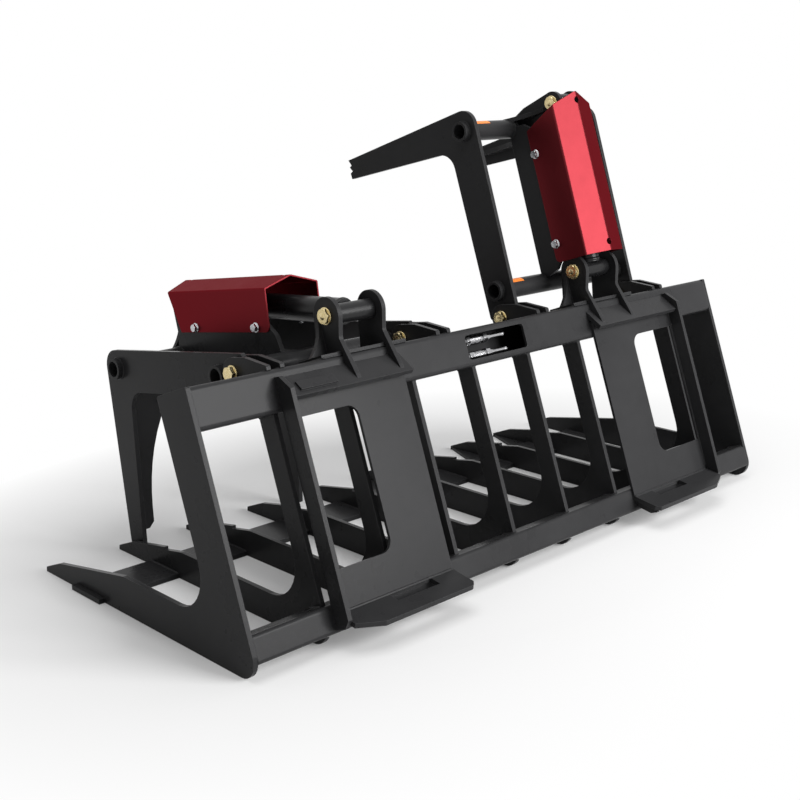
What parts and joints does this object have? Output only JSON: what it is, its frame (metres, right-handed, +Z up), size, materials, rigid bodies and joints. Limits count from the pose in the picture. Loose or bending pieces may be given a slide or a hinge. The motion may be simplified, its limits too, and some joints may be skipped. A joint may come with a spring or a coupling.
{
  "type": "skeleton grapple",
  "caption": "Skid-steer skeleton grapple: leaning frame of rock tines, quick-attach face plates and two hydraulic clamps that open and close on their own cylinders",
  "frame": {"origin": "on the ground, in the middle of the width and of the depth", "axes": "+X to the right across the machine as the driver looks forward, +Y forward to the tine tips, +Z up"},
  "size_m": [1.548, 0.8276, 0.9259],
  "materials": {
    "black_paint": "satin black powder coat",
    "red_paint": "satin red paint",
    "gold_zinc": "yellow zinc plate on steel",
    "silver_zinc": "bright zinc plate",
    "barrel_paint": "semi-gloss black paint",
    "chrome": "hard chrome"
  },
  "bodies": {
    "frame": {"tine_1": "black_paint", "tine_2": "black_paint", "tine_3": "black_paint", "tine_4": "black_paint", "tine_5": "black_paint", "tine_6": "black_paint", "tine_7": "black_paint", "tine_8": "black_paint", "tine_9": "black_paint", "tine_10": "black_paint", "top_beam": "black_paint", "bottom_beam": "black_paint", "cross_bar": "black_paint", "qa_plate_left": "black_paint", "qa_plate_right": "black_paint", "qa_flange_left": "black_paint", "qa_flange_right": "black_paint", "qa_ledge_left": "black_paint", "qa_ledge_right": "black_paint", "hinge_ears_lo": "black_paint", "hinge_ears_li": "black_paint", "hinge_ears_ri": "black_paint", "hinge_ears_ro": "black_paint", "hinge_bolt_lo": "gold_zinc", "hinge_bolt_li": "gold_zinc", "hinge_bolt_ri": "gold_zinc", "hinge_bolt_ro": "gold_zinc", "bracket_left": "black_paint", "bracket_right": "black_paint", "base_pin_left": "gold_zinc", "base_pin_right": "gold_zinc", "coupler_upper": "silver_zinc", "coupler_lower": "silver_zinc"},
    "clamp_left": {"hook_outer_left": "black_paint", "hook_inner_left": "black_paint", "tube_front_left": "black_paint", "tube_rear_left": "black_paint", "side_plates_left": "black_paint", "cheeks_left": "black_paint", "guard_left": "red_paint", "guard_bolts_left": "silver_zinc", "rod_pin_left": "gold_zinc"},
    "clamp_right": {"hook_outer_right": "black_paint", "hook_inner_right": "black_paint", "tube_front_right": "black_paint", "tube_rear_right": "black_paint", "side_plates_right": "black_paint", "cheeks_right": "black_paint", "guard_right": "red_paint", "guard_bolts_right": "silver_zinc", "rod_pin_right": "gold_zinc"},
    "ram_left": {"barrel_left": "barrel_paint", "gland_left": "barrel_paint"},
    "ram_right": {"barrel_right": "barrel_paint", "gland_right": "barrel_paint"},
    "piston_left": {"rod_left": "chrome"},
    "piston_right": {"rod_right": "chrome"}
  },
  "joints": [
    {"name": "clamp_hinge_left", "type": "hinge", "parent": "frame", "child": "clamp_left", "pos_m": [-0.3615, -0.09428, 0.4501], "axis": [1, 0, 0], "range_deg": [0, 79.6]},
    {"name": "ram_swivel_left", "type": "hinge", "parent": "frame", "child": "ram_left", "pos_m": [-0.3615, -0.15299, 0.5383], "axis": [1, 0, 0], "range_deg": [0, 77.91]},
    {"name": "piston_slide_left", "type": "slide", "parent": "ram_left", "child": "piston_left", "axis": [0, 0.9969, -0.0785], "range_m": [-0.1366, 0]},
    {"name": "clamp_hinge_right", "type": "hinge", "parent": "frame", "child": "clamp_right", "pos_m": [0.3615, -0.09428, 0.4501], "axis": [1, 0, 0], "range_deg": [-79.6, 0]},
    {"name": "ram_swivel_right", "type": "hinge", "parent": "frame", "child": "ram_right", "pos_m": [0.3615, -0.15299, 0.5383], "axis": [1, 0, 0], "range_deg": [-83.48, 0]},
    {"name": "piston_slide_right", "type": "slide", "parent": "ram_right", "child": "piston_right", "axis": [0, 0.2471, 0.969], "range_m": [0, 0.1311]}
  ],
  "couplings": [
    {"joint": "ram_swivel_left", "follows": "clamp_hinge_left", "ratio": 0.9725},
    {"joint": "piston_slide_left", "follows": "clamp_hinge_left", "m_per_rad": -0.098},
    {"joint": "ram_swivel_right", "follows": "clamp_hinge_right", "ratio": 1.0425},
    {"joint": "piston_slide_right", "follows": "clamp_hinge_right", "m_per_rad": -0.094}
  ]
}
